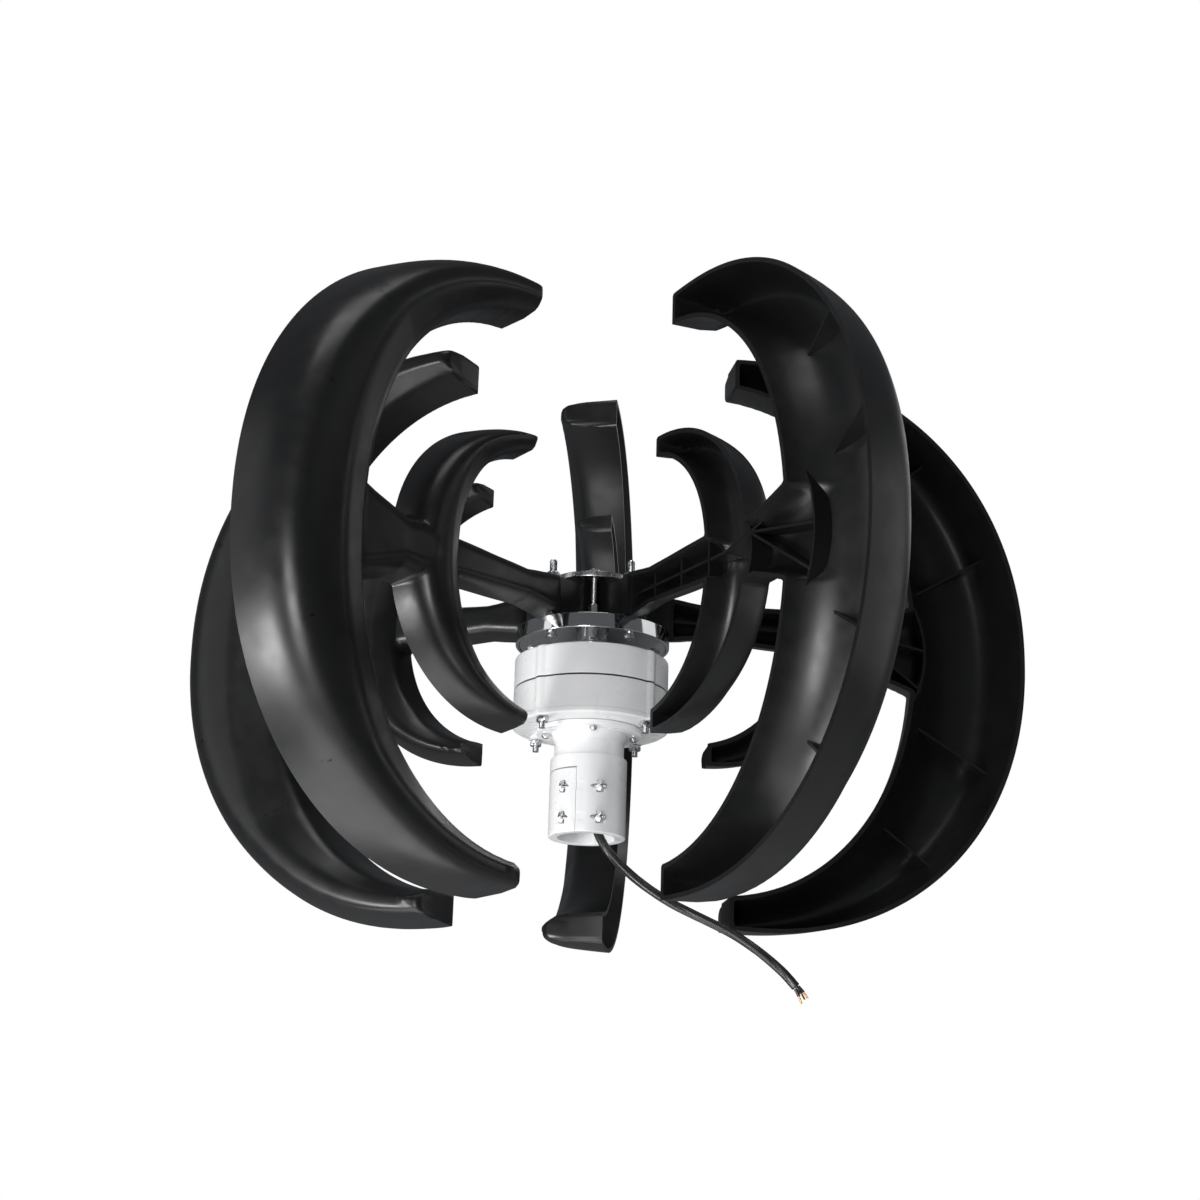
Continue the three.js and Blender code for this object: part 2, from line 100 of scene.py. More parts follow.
def spread(tree, value, low, high):
    ramp = tree.nodes.new("ShaderNodeMapRange")
    ramp.inputs["From Min"].default_value = NOISE_LOW
    ramp.inputs["From Max"].default_value = NOISE_HIGH
    ramp.inputs["To Min"].default_value = low
    ramp.inputs["To Max"].default_value = high
    tree.links.new(value, ramp.inputs["Value"])
    return ramp.outputs["Result"]


def tint(tree, value, first, second):
    ramp = tree.nodes.new("ShaderNodeValToRGB")
    ramp.color_ramp.elements[0].position = NOISE_LOW
    ramp.color_ramp.elements[0].color = (*first, 1)
    ramp.color_ramp.elements[1].position = NOISE_HIGH
    ramp.color_ramp.elements[1].color = (*second, 1)
    tree.links.new(value, ramp.inputs["Fac"])
    return ramp.outputs["Color"]


def bump(tree, shader, heights):
    """Chains (height, strength, distance) bumps into the shader's normal input."""
    normal = None
    for height, strength, distance in heights:
        node = tree.nodes.new("ShaderNodeBump")
        node.inputs["Strength"].default_value = strength
        node.inputs["Distance"].default_value = distance
        tree.links.new(height, node.inputs["Height"])
        if normal is not None:
            tree.links.new(normal, node.inputs["Normal"])
        normal = node.outputs["Normal"]
    tree.links.new(normal, shader.inputs["Normal"])


def surface(name, first, second, rough, metallic=0.0, scale=60, grain=900, grain_depth=0.00003,
            stretch=(1, 1, 1), specular=0.5, coat=0.0, coat_rough=0.2):
    """A finish with mottled colour and roughness and a fine grain."""
    material, tree, shader = node_material(name)
    mottle = noise(tree, scale, 3.0, stretch)
    tree.links.new(tint(tree, mottle, first, second), shader.inputs["Base Color"])
    tree.links.new(spread(tree, noise(tree, scale * 2.7, 2.0, stretch), *rough), shader.inputs["Roughness"])
    shader.inputs["Metallic"].default_value = metallic
    shader.inputs["Specular IOR Level"].default_value = specular
    shader.inputs["Coat Weight"].default_value = coat
    shader.inputs["Coat Roughness"].default_value = coat_rough
    bump(tree, shader, [(noise(tree, grain, 1.0, stretch), 0.6, grain_depth)])
    return material


FINISH = {
    "blade_nylon": surface("moulded_nylon", (0.006, 0.0062, 0.0066), (0.009, 0.0092, 0.0097),
                           (0.28, 0.37), scale=24, grain=1500, grain_depth=0.000012),
    "white_paint": surface("powder_coat", (0.80, 0.805, 0.81), (0.85, 0.852, 0.855), (0.26, 0.36),
                           scale=40, grain=620, grain_depth=0.00002, coat=0.25, coat_rough=0.12),
    "chrome_disc": surface("chrome_plate", (0.70, 0.71, 0.72), (0.76, 0.77, 0.78), (0.05, 0.09),
                           metallic=1, scale=90, grain=1600, grain_depth=0.000002),
    "steel": surface("stainless", (0.55, 0.56, 0.57), (0.66, 0.665, 0.67), (0.18, 0.34), metallic=1,
                     scale=160, grain=2400, grain_depth=0.000006),
    "rubber": surface("rubber", (0.012, 0.012, 0.012), (0.02, 0.02, 0.02), (0.6, 0.75), grain=1200),
    "copper": surface("copper", (0.50, 0.20, 0.075), (0.66, 0.30, 0.13), (0.22, 0.36), metallic=1,
                      scale=300, grain=1800),
    "core_iron": surface("laminations", (0.16, 0.165, 0.17), (0.26, 0.265, 0.27), (0.4, 0.55), metallic=1,
                         scale=60, grain=300, grain_depth=0.00006, stretch=(0.02, 0.02, 6)),
    "magnet": surface("nickel_plate", (0.42, 0.42, 0.41), (0.5, 0.5, 0.49), (0.2, 0.32), metallic=1),
    "cage_brass": surface("brass", (0.55, 0.40, 0.14), (0.66, 0.5, 0.2), (0.22, 0.34), metallic=1),
    "cable_vinyl": surface("vinyl", (0.010, 0.010, 0.011), (0.017, 0.017, 0.018), (0.24, 0.36),
                           scale=120, grain=900, grain_depth=0.00004),
}
SLOT_OF = {part["node"]: part["material_slot"] for part in frame["record"]["subparts"]}
for node_name, node_object in frame["nodes"].items():
    node_object.data.materials.clear()
    node_object.data.materials.append(FINISH[SLOT_OF[node_name]])


# ---------- mesh helpers ----------
def shade(mesh, sharp):
    mesh.polygons.foreach_set("use_smooth", np.ones(len(mesh.polygons), dtype=bool))
    mesh.set_sharp_from_angle(angle=math.radians(sharp))


def to_object(name, mesh, sharp):
    shade(mesh, sharp)
    piece = bpy.data.objects.new(name, mesh)
    SCENE.collection.objects.link(piece)
    return piece


def build(name, points, faces, sharp=38):
    mesh = bpy.data.meshes.new(name)
    mesh.from_pydata((np.asarray(points, dtype=float) * MM).tolist(), [], faces)
    mesh.update()
    return to_object(name, mesh, sharp)


def finish_piece(piece, slot, body, *nodes):
    piece.data.materials.clear()
    piece.data.materials.append(FINISH[slot])
    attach(piece, body)
    if nodes:
        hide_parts(*nodes)
    return piece


def combine(base, operand, operation):
    """Joins or cuts base with operand, and drops operand."""
    modifier = base.modifiers.new("combine", "BOOLEAN")
    modifier.operation = operation
    modifier.solver = "MANIFOLD"
    modifier.object = operand
    graph = bpy.context.evaluated_depsgraph_get()
    result = bpy.data.meshes.new_from_object(base.evaluated_get(graph))
    base.modifiers.clear()
    base.data = result
    bpy.data.objects.remove(operand)
    return base


def resmooth(piece, sharp=35):
    shade(piece.data, sharp)


def rounded(corners, segments=4):
    """A closed profile of (x, y) or (x, y, radius) corners, with each radius drawn as an arc."""
    path = []
    count = len(corners)
    for i, corner in enumerate(corners):
        here = Vector(corner[:2])
        radius = corner[2] if len(corner) > 2 else 0
        if radius <= 0:
            path.append(tuple(here))
            continue
        before = (Vector(corners[i - 1][:2]) - here).normalized()
        after = (Vector(corners[(i + 1) % count][:2]) - here).normalized()
        reach = radius / math.tan(before.angle(after) / 2)
        start, end = here + before * reach, here + after * reach
        for k in range(segments + 1):
            u = k / segments
            path.append(tuple((1 - u) ** 2 * start + 2 * u * (1 - u) * here + u ** 2 * end))
    return path


def turned(name, corners, sides=128, plan=None, first=0.0, sweep=360.0, sharp=38):
    """A closed (radius, height) profile turned about Z. plan(angle, radius) may push a point outwards."""
    profile = rounded(corners)
    full = sweep >= 360
    rings = sides if full else sides + 1
    points, faces = [], []
    for k in range(rings):
        angle = math.radians(first + sweep * k / sides)
        for r, z in profile:
            grown = r + (plan(angle, r) if plan else 0)
            points.append((grown * math.cos(angle), grown * math.sin(angle), z))
    count = len(profile)
    for k in range(sides):
        a, b = k * count, ((k + 1) % rings) * count
        for i in range(count):
            j = (i + 1) % count
            faces.append((a + i, b + i, b + j, a + j))
    if not full:
        faces.append(tuple(range(count)))
        faces.append(tuple(range((rings - 1) * count, rings * count))[::-1])
    return build(name, points, faces, sharp)


def stacked_rings(name, rings, sharp=38, cap=True):
    """Rings of the same number of points, skinned in order and closed by end faces."""
    count = len(rings[0])
    points = [p for ring in rings for p in ring]
    faces = []
    for k in range(len(rings) - 1):
        for i in range(count):
            j = (i + 1) % count
            faces.append((k * count + i, k * count + j, (k + 1) * count + j, (k + 1) * count + i))
    if cap:
        faces.append(tuple(range(count))[::-1])
        faces.append(tuple(range((len(rings) - 1) * count, len(rings) * count)))
    return build(name, points, faces, sharp)


def hexagon(angle, flats):
    return flats / math.cos((angle % (math.pi / 3)) - math.pi / 6)


def hex_rings(flats, low, high, bore=0.0, chamfer=0.8, sides=48):
    """Rings of a hexagon nut or bolt head with turned-off corners; flats is half the width across flats."""
    angles = [2 * math.pi * k / sides for k in range(sides)]
    crown = flats * 0.97

    def ring(limit, z):
        return [(min(hexagon(a, flats), limit) * math.cos(a), min(hexagon(a, flats), limit) * math.sin(a), z)
                for a in angles]

    wide = flats * 1.2
    rings = [ring(crown, low), ring(wide, low + chamfer), ring(wide, high - chamfer), ring(crown, high)]
    if bore:
        circle = [[(bore * math.cos(a), bore * math.sin(a), z) for a in angles] for z in (high, low)]
        rings = [circle[1]] + rings + circle[:1] + [circle[1]]
    return rings


def nut(name, flats, low, high, bore=0.0):
    return stacked_rings(name, hex_rings(flats, low, high, bore), 30, cap=not bore)


def threaded(name, radius, low, high, pitch=1.0, sides=20, start=None, sharp=50):
    """A rod with a real screw thread above start; below it the shank is plain."""
    start = low if start is None else start
    depth = 0.55 * pitch
    rings = []
    steps = max(2, int((high - start) / (pitch / 4)))
    levels = [low] + [start + (high - start) * k / steps for k in range(steps + 1)]
    if start - low < 1e-6:
        levels = levels[1:]
    for level in levels:
        ring = []
        for k in range(sides):
            angle = 2 * math.pi * k / sides
            phase = ((level - start) / pitch - k / sides) % 1.0
            cut = depth * abs(2 * phase - 1) if level > start + 1e-6 else 0
            taper = max(0.0, 1 - (high - level) / 1.0) * 0.7
            r = radius - cut - taper
            ring.append((r * math.cos(angle), r * math.sin(angle), level))
        rings.append(ring)
    return stacked_rings(name, rings, sharp)


def joined(name, pieces):
    """One object from several that share a body."""
    points, faces = [], []
    for piece in pieces:
        first = len(points)
        points.extend([piece.matrix_basis @ v.co for v in piece.data.vertices])
        faces.extend([tuple(first + i for i in p.vertices) for p in piece.data.polygons])
        bpy.data.objects.remove(piece)
    mesh = bpy.data.meshes.new(name)
    mesh.from_pydata([tuple(p) for p in points], [], faces)
    mesh.update()
    return to_object(name, mesh, 32)


def centre(node):
    low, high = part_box(node)
    return (Vector(low) + Vector(high)) / 2


COPY_TURN = 17


def copies(template, base, count, slot, body, sets):
    """Puts a copy of template at the centre of each numbered node, each turned a little further."""
    for i in range(1, count + 1):
        piece = template if i == count else template.copy()
        if i != count:
            SCENE.collection.objects.link(piece)
        piece.name = f"{base}_piece_{i}"
        where = centre(f"{base}_{i}")
        piece.location = (where.x, where.y, 0)
        piece.rotation_euler = (0, 0, math.radians(COPY_TURN * i))
        bpy.context.view_layer.update()
        finish_piece(piece, slot, body, *[f"{n}_{i}" for n in sets])


# ---------- the output lead ----------
LEAD_ROUTE = [
    (0, 0, 73), (0, 0, 66), (0, 0, 57), (0.4, -0.1, 47), (1.2, -0.4, 37), (2.5, -0.8, 27),
    (4.4, -1.4, 17), (7.4, -2.3, 6.5), (12.3, -3.7, -3.5), (19, -5.5, -13), (28, -8, -22.6),
    (39, -11, -32.6), (51.5, -14.5, -42), (65, -18.4, -50.5), (79.5, -22.6, -58), (94.5, -27, -65.5),
    (109, -31, -73.5), (122, -34.5, -82.5), (134, -37.5, -92), (144.5, -40, -101.5), (153, -42, -111),
]
WIRE_ROUTES = [
    [(153.3, -43.9, -111.4), (155.2, -44.6, -113.9), (156.9, -45.7, -116.8), (158.8, -46.9, -120.6)],
    [(152.5, -41.3, -112.7), (154.1, -41.5, -115.4), (155.6, -41.7, -118.9), (157.1, -41.7, -123.2)],
    [(154.7, -41.3, -110.7), (156.8, -41.5, -113), (159.1, -41.7, -115.7), (161.6, -41.7, -119.2)],
]


def spline(points, per=6):
    """A Catmull-Rom curve through points."""
    p = np.array(points, dtype=float)
    padded = np.vstack([2 * p[0] - p[1], p, 2 * p[-1] - p[-2]])
    curve = []
    for i in range(len(p) - 1):
        a, b, c, d = padded[i:i + 4]
        for u in np.arange(per) / per:
            curve.append(0.5 * (2 * b + (c - a) * u + (2 * a - 5 * b + 4 * c - d) * u ** 2
                                + (3 * b - a - 3 * c + d) * u ** 3))
    curve.append(p[-1])
    return np.array(curve)


def swept(name, curve, section, sharp=60):
    """A tube along curve; section(share) gives the (across, up) offsets of its outline."""
    tangents = np.gradient(curve, axis=0)
    tangents /= np.linalg.norm(tangents, axis=1)[:, None]
    side = np.cross(tangents[0], (0, 1, 0))
    rings = []
    for k, (place, tangent) in enumerate(zip(curve, tangents)):
        side = side - tangent * side.dot(tangent)
        side /= np.linalg.norm(side)
        up = np.cross(tangent, side)
        outline = section(k / (len(curve) - 1))
        rings.append([tuple(place + side * x + up * y) for x, y in outline])
    return stacked_rings(name, rings, sharp)


def three_cores(share):
    """Three round cores in one jacket, twisting slowly along the lead."""
    twist = share * 2.4 * math.pi
    outline = []
    for k in range(36):
        angle = 2 * math.pi * k / 36
        radius = 2.95 + 0.55 * abs(math.cos(1.5 * angle)) ** 0.7
        outline.append((radius * math.cos(angle + twist), radius * math.sin(angle + twist)))
    return outline


def round_section(radius):
    return lambda share: [(radius * math.cos(a), radius * math.sin(a))
                          for a in np.linspace(0, 2 * math.pi, 16, endpoint=False)]


lead = swept("lead_jacket", spline(LEAD_ROUTE), three_cores)
finish_piece(lead, "cable_vinyl", "stator", "power_cable")
wire_pieces = []
for number, route in enumerate(WIRE_ROUTES, 1):
    curve = spline(route, 8)
    half = len(curve) * 6 // 10
    core = swept(f"wire_core_{number}", curve[:half], round_section(1.2))
    finish_piece(core, "cable_vinyl", "stator", f"wire_end_{number}")
    strands = swept(f"wire_strands_{number}", curve[half - 1:], round_section(0.7))
    finish_piece(strands, "copper", "stator")
    wire_pieces += [core, strands]

# ---------- blades ----------
AZIMUTH = 12
PITCH_ANGLE = 72
BLADE_COUNT = 5
WALL = 3.2
RIM = -3.0
FULLNESS = 0.945
STEP = 2.0
MIDDLE = 170.2
BIG = {"outer": (136, MIDDLE, 218.5, 232.8), "inner": (97, MIDDLE, 161.5, 207), "tip": 111}
SMALL = {"outer": (92, 177, 120, 114.5), "inner": (73, 178, 88, 99.5), "tip": 92}
DEPTH = 51
SMALL_DEPTH_SHARE = 0.64
NECK_Z, NECK_END = 170, 290
NECK_RADII, NECK_HALVES = [182, 206, 222, 252, 286], [26, 24, 23, 33, 47]
ARM_Z, ARM_START, ARM_END = 176.5, 48, 182
ARM_RADII, ARM_HALVES = [50, 60, 86, 172], [17.8, 17.5, 14, 18]
HOLLOW_START = 62
FAN_NODE = (208, 184)
FAN_ARC = (190, 172, 84.4)
BIG_OUTER_WALL = [(-8, -48), (0, 0), (2.4, 12.5), (5.2, 24.5), (9.2, 35), (15, 43), (22, 47.8), (30, 50.2),
                  (40, DEPTH), (400, DEPTH)]
BIG_INNER_WALL = [(-8, -48), (0, 0), (2.8, 13.5), (6, 26), (9.5, 33.6), (13.5, 37.4), (20, 40.6), (30, 45.2),
                  (38, 48.9), (42, 50.5), (48, DEPTH), (400, DEPTH)]
SMALL_OUTER_WALL = [(-8, -44), (0, 0), (1.6, 9.5), (3.6, 18), (6.4, 24.8), (10.5, 29.2), (16, 31.4), (22, 32),
                    (400, 32)]
SMALL_INNER_WALL = [(-8, -44), (0, 0), (1.8, 9.5), (4, 18), (6.8, 23), (10, 25.4), (16, 28.4), (22, 31.2),
                    (28, 32), (400, 32)]
TIP_WALL = [(-8, -90), (0, 0), (0.6, 18), (1.4, 33), (2.8, 42), (5, 47), (8.5, 50), (13, DEPTH), (400, DEPTH)]
HOLLOW_INNER_WALL = [(-8, -44), (0, 0), (3, 11), (8, 21), (16, 31), (26, 39), (38, 45.6), (50, 49.6),
                     (60, DEPTH), (400, DEPTH)]
BOSSES = [(148, 155, 7, 5.5, 2.0), (127, -48, 4.5, 4, 1.2), (95, 73, 4, 3.5, 1.0)]


def easing(table):
    """A smooth function through a table of (inset, height)."""
    x, y = np.array(table, dtype=float).T
    slope = np.diff(y) / np.diff(x)
    tangent = np.concatenate([[slope[0]], (slope[1:] + slope[:-1]) / 2, [slope[-1]]])
    flat = np.concatenate([[False], slope[1:] * slope[:-1] <= 0, [False]])
    tangent[flat] = 0
    limit = np.minimum(np.concatenate([[slope[0]], slope]), np.concatenate([slope, [slope[-1]]])) * 3
    tangent = np.minimum(tangent, limit)
    dense_x, dense_y = [], []
    for i in range(len(x) - 1):
        h = x[i + 1] - x[i]
        for u in np.arange(12) / 12:
            dense_x.append(x[i] + u * h)
            dense_y.append((2 * u ** 3 - 3 * u ** 2 + 1) * y[i] + (u ** 3 - 2 * u ** 2 + u) * h * tangent[i]
                           + (3 * u ** 2 - 2 * u ** 3) * y[i + 1] + (u ** 3 - u ** 2) * h * tangent[i + 1])
    dense_x.append(x[-1])
    dense_y.append(y[-1])
    return lambda inset: np.interp(inset, dense_x, dense_y)


def smooth_min(a, b, blend):
    share = np.clip(0.5 + 0.5 * (b - a) / blend, 0, 1)
    return b + (a - b) * share - blend * share * (1 - share)


def smooth_max(a, b, blend):
    return -smooth_min(-a, -b, blend)


def edge_inset(edge, r, z):
    """Distance inside a superellipse edge, negative outside it."""
    er, ez, a, b = edge
    angles = np.radians(np.linspace(-165, 165, 331))
    c, s = np.cos(angles), np.sin(angles)
    line = np.stack([er + a * np.sign(c) * np.abs(c) ** FULLNESS,
                     ez + b * np.sign(s) * np.abs(s) ** FULLNESS], axis=1)
    here = np.stack([r.ravel(), z.ravel()], axis=1)
    best = np.full(len(here), 1e9)
    for start, end in zip(line[:-1], line[1:]):
        along = end - start
        share = np.clip(((here - start) @ along) / (along @ along), 0, 1)
        gap = here - start - share[:, None] * along
        best = np.minimum(best, np.einsum("ij,ij->i", gap, gap))
    inside = np.abs((r - er) / a) ** (2 / FULLNESS) + np.abs((z - ez) / b) ** (2 / FULLNESS) < 1
    return np.where(inside, 1, -1) * np.sqrt(best).reshape(r.shape)


def blade_heights(r, z):
    """Heights above the rim of a blade's outside and of the hollow under it."""
    big_outer = edge_inset(BIG["outer"], r, z)
    big_inner = -edge_inset(BIG["inner"], r, z)
    small_outer = edge_inset(SMALL["outer"], r, z)
    small_inner = -edge_inset(SMALL["inner"], r, z)
    neck_half = np.interp(r, NECK_RADII, NECK_HALVES)
    lobe = NECK_HALVES[1] - np.hypot(NECK_RADII[1] - r, z - NECK_Z)
    neck = np.where(r >= NECK_RADII[1], neck_half - np.abs(z - NECK_Z), lobe)
    neck = np.minimum(neck, NECK_END - r)
    arm_half = np.interp(r, ARM_RADII, ARM_HALVES)
    arm = np.minimum(arm_half - np.abs(z - ARM_Z), np.minimum(r - ARM_START, ARM_END - r))
    walls = [easing(t) for t in (BIG_OUTER_WALL, BIG_INNER_WALL, SMALL_OUTER_WALL, SMALL_INNER_WALL, TIP_WALL,
                                 HOLLOW_INNER_WALL)]
    neck_wall = easing([(-8, -44), (0, 0), (1.6, 12), (3.6, 21), (6.6, 27), (11, 30), (18, 31), (400, 31)])
    neck_hollow = easing([(-8, -34), (0, 0), (1.5, 10), (4, 17.5), (8, 23), (14, 26.5), (22, 28), (400, 28)])
    arm_wall = easing([(-8, -44), (0, 0), (1, 8), (2.6, 13.5), (5, 17), (9, 18.8), (14, 19), (400, 19)])

    narrow = np.clip(np.maximum((big_outer + big_inner) / 72, 0.05) ** 1.3, 0.26, 1)
    slim = np.clip((small_outer + small_inner) / 34, 0.5, 1)

    def over(wall):
        soft = 3 if wall else 1
        inner = walls[5 if wall else 1]((big_inner - wall) / narrow)
        big = smooth_min(walls[0]((big_outer - wall) / narrow), inner, 4 * soft)
        big = smooth_min(big, walls[4](r - BIG["tip"] - wall), 6)
        inner = walls[3]((small_inner - wall) / slim)
        small = smooth_min(walls[2]((small_outer - wall) / slim), inner, 3 * soft)
        small = smooth_min(small, walls[4](r - SMALL["tip"] - wall) * SMALL_DEPTH_SHARE, 4)
        height = smooth_max(big, (neck_hollow if wall else neck_wall)(neck - wall), 4 * soft)
        height = smooth_max(height, small, 2.5 * soft)
        start = HOLLOW_START if wall else 0
        height = smooth_max(height, np.where(r > start, arm_wall(arm - wall), -44), 4)
        if not wall:
            for br, bz, wide, high, lift in BOSSES:
                far = ((r - br) / wide) ** 2 + ((z - bz) / high) ** 2
                height = height + lift * np.clip(1.35 * (1 - far), 0, 1) ** 0.8
        return height - wall

    return over(0), over(WALL)


def height_solid(name, r_line, z_line, heights, floor):
    """A closed solid under a height field over the blade's plane, standing on floor."""
    rows, columns = heights.shape
    top = np.stack([np.broadcast_to(r_line[None, :], heights.shape), heights,
                    np.broadcast_to(z_line[:, None], heights.shape)], axis=-1).reshape(-1, 3)
    grid = np.arange(rows * columns).reshape(rows, columns)
    quads = np.stack([grid[:-1, :-1], grid[1:, :-1], grid[1:, 1:], grid[:-1, 1:]], axis=-1).reshape(-1, 4)
    border = np.concatenate([grid[0, :], grid[1:, -1], grid[-1, -2::-1], grid[-2:0:-1, 0]])
    base = top[border].copy()
    base[:, 1] = floor
    first = rows * columns
    count = len(border)
    faces = quads.tolist()
    for i in range(count):
        j = (i + 1) % count
        faces.append((int(border[i]), int(border[j]), first + j, first + i))
    faces.append(tuple(range(first, first + count)))
    return build(name, np.concatenate([top, base]), faces)


def block(name, low, high):
    (x0, y0, z0), (x1, y1, z1) = low, high
    points = [(x, y, z) for x in (x0, x1) for y in (y0, y1) for z in (z0, z1)]
    faces = [(0, 1, 3, 2), (4, 6, 7, 5), (0, 4, 5, 1), (2, 3, 7, 6), (0, 2, 6, 4), (1, 5, 7, 3)]
    return build(name, points, faces)


def wall_along(name, line, near, far, thickness=2.4, draft=0.2):
    """A rib that follows a line in the blade's plane; near gives its free edge at both ends."""
    p = np.array(line, dtype=float)
    tangent = np.gradient(p, axis=0)
    tangent /= np.linalg.norm(tangent, axis=1)[:, None]
    across = np.stack([-tangent[:, 1], tangent[:, 0]], axis=1)
    rings = []
    for place, normal, edge in zip(p, across, np.linspace(near[0], near[1], len(p))):
        ring = []
        for side, t, half in ((-1, edge, thickness / 2 - draft), (1, edge, thickness / 2 - draft),
                              (1, far, thickness / 2 + 0.2), (-1, far, thickness / 2 + 0.2)):
            x, z = place + normal * side * half
            ring.append((x, t, z))
        rings.append(ring)
    return stacked_rings(name, rings)


def blade_ribs():
    ribs = []
    floor = RIM + DEPTH - WALL + 1.8

    def straight(start, end, near, far):
        middle = ((start[0] + end[0]) / 2, (start[1] + end[1]) / 2)
        ribs.append(wall_along("rib", [start, middle, end], near, far))

    for side in (-1, 1):
        straight((262, MIDDLE + side * 49), (330, MIDDLE + side * 90), (27, 22), floor)
        straight((235, MIDDLE + side * 132), (285, MIDDLE + side * 171), (27, 22), floor)
    straight((55, ARM_Z), (ARM_END, ARM_Z), (1, 1), RIM + 18)
    straight((181, ARM_Z), FAN_NODE, (1, 3), RIM + 29)
    for r in (88, 124, 160):
        straight((r, 161), (r, 192), (1, 1), RIM + 18)
    for end in ((265, 205), (274, 174), (268, 143)):
        straight(FAN_NODE, end, (3, 10), floor)
    across = [(199, 202), (205, 193), FAN_NODE, (209, 174), (208, 164), (204, 152)]
    ribs.append(wall_along("rib", across, (4, 4), RIM + 30))
    centre_r, centre_z, radius = FAN_ARC
    arc = [(centre_r + radius * math.cos(math.radians(d)), centre_z + radius * math.sin(math.radians(d)))
           for d in np.linspace(-42, 42, 29)]
    ribs.append(wall_along("rib", arc, (10, 10), floor))
    return ribs


def make_blade():
    r_line = np.arange(40, 366, STEP)
    z_line = np.arange(-76, 418, STEP)
    r, z = np.meshgrid(r_line, z_line)
    outside, hollow = blade_heights(r, z)
    outer = height_solid("blade_outside", r_line, z_line, RIM + np.maximum(outside, -30), RIM - 40)
    outer = combine(outer, block("keep", (0, RIM, -120), (400, 90, 460)), "INTERSECT")
    bound = outer.copy()
    bound.data = outer.data.copy()
    SCENE.collection.objects.link(bound)
    inner = height_solid("blade_hollow", r_line, z_line, RIM + np.maximum(hollow, -18), RIM - 30)
    blade = combine(outer, inner, "DIFFERENCE")
    ribs = blade_ribs()
    rib = ribs[0]
    for other in ribs[1:]:
        rib = combine(rib, other, "UNION")
    rib = combine(rib, bound, "INTERSECT")
    blade = combine(blade, rib, "UNION")
    for low, high in (((14, -6, 160.2), (60, 12, 190.6)), ((14, -6, 190), (35, 12, 195.9))):
        blade = combine(blade, block("root", low, high), "UNION")
    resmooth(blade, 40)
    return blade


blade = make_blade()
for i in range(BLADE_COUNT):
    last = i == BLADE_COUNT - 1
    piece = blade if last else blade.copy()
    if not last:
        SCENE.collection.objects.link(piece)
    piece.name = f"blade_piece_{i + 1}"
    piece.rotation_euler = (0, 0, math.radians(AZIMUTH + PITCH_ANGLE * i))
    bpy.context.view_layer.update()
    finish_piece(piece, "blade_nylon", "rotor", f"blade_{i + 1}")

# ---------- hub ----------
finish_piece(turned("lower_disc_piece", [
    (7.8, 148.4), (20, 148.4), (20.6, 149, 0.3), (56, 149, 0.3), (56.6, 148.4, 0.3), (59, 148.4, 0.7),
    (59, 159.8, 0.7), (7.8, 159.8, 0.3),
], 160), "chrome_disc", "rotor", "lower_hub_disc")
finish_piece(turned("upper_disc_piece", [
    (7.8, 196.2), (34, 196.2, 0.5), (34, 200.4, 0.5), (7.8, 200.4, 0.3),
], 128), "steel", "rotor", "upper_hub_disc")
finish_piece(turned("shaft_piece", [
    (0.01, 88.5), (6.5, 88.5), (7.5, 89.5, 0.3), (7.5, 138.6), (12.2, 138.6, 0.4), (13, 139.4, 0.3),
    (13, 147.4, 0.3), (12.2, 148.1, 0.3), (7.5, 148.1), (7.5, 205.8, 0.3), (6.5, 206.8), (0.01, 206.8),
], 64), "steel", "rotor", "shaft")
finish_piece(nut("shaft_nut_piece", 10.8, 200.7, 205.7, 7.8), "steel", "rotor", "shaft_nut")

bolt = joined("arm_bolt_template", [
    nut("head", 3.8, 144.5, 148.1),
    threaded("shank", 3, 147.5, 206, 1.0, start=185),
])
copies(bolt, "arm_bolt", 5, "steel", "rotor", ["arm_bolt"])
copies(nut("arm_nut_template", 4.9, 190.9, 195.9, 3.05), "arm_nut", 5, "steel", "rotor", ["arm_nut"])
hub_bolt = joined("hub_bolt_template", [
    nut("head", 3.8, 200.7, 203.3),
    threaded("shank", 2.4, 149, 201, 0.8, start=172),
    nut("standoff", 3.7, 160.1, 175.1),
])
copies(hub_bolt, "hub_bolt", 5, "steel", "rotor", ["hub_bolt"])

# ---------- generator ----------
BOSS_FIRST = math.radians(49.5)
BOSS_CIRCLE, BOSS_RADIUS, HOUSING_RADIUS, BOSS_BLEND = 54.5, 6.2, 58.8, 0.5


def boss_bump(angle, r):
    """How far the four bolt bosses stand out of the round housing."""
    if r < 53:
        return 0
    turn = (angle - BOSS_FIRST + math.pi / 4) % (math.pi / 2) - math.pi / 4
    x = BOSS_CIRCLE * math.cos(turn)
    reach = BOSS_RADIUS ** 2 - (BOSS_CIRCLE * math.sin(turn)) ** 2
    edge = x + math.sqrt(reach) if reach > 0 else 0
    lift = edge - HOUSING_RADIUS
    if lift > BOSS_BLEND:
        return lift
    return (lift + BOSS_BLEND) ** 2 / (4 * BOSS_BLEND) if lift > -BOSS_BLEND else 0.0


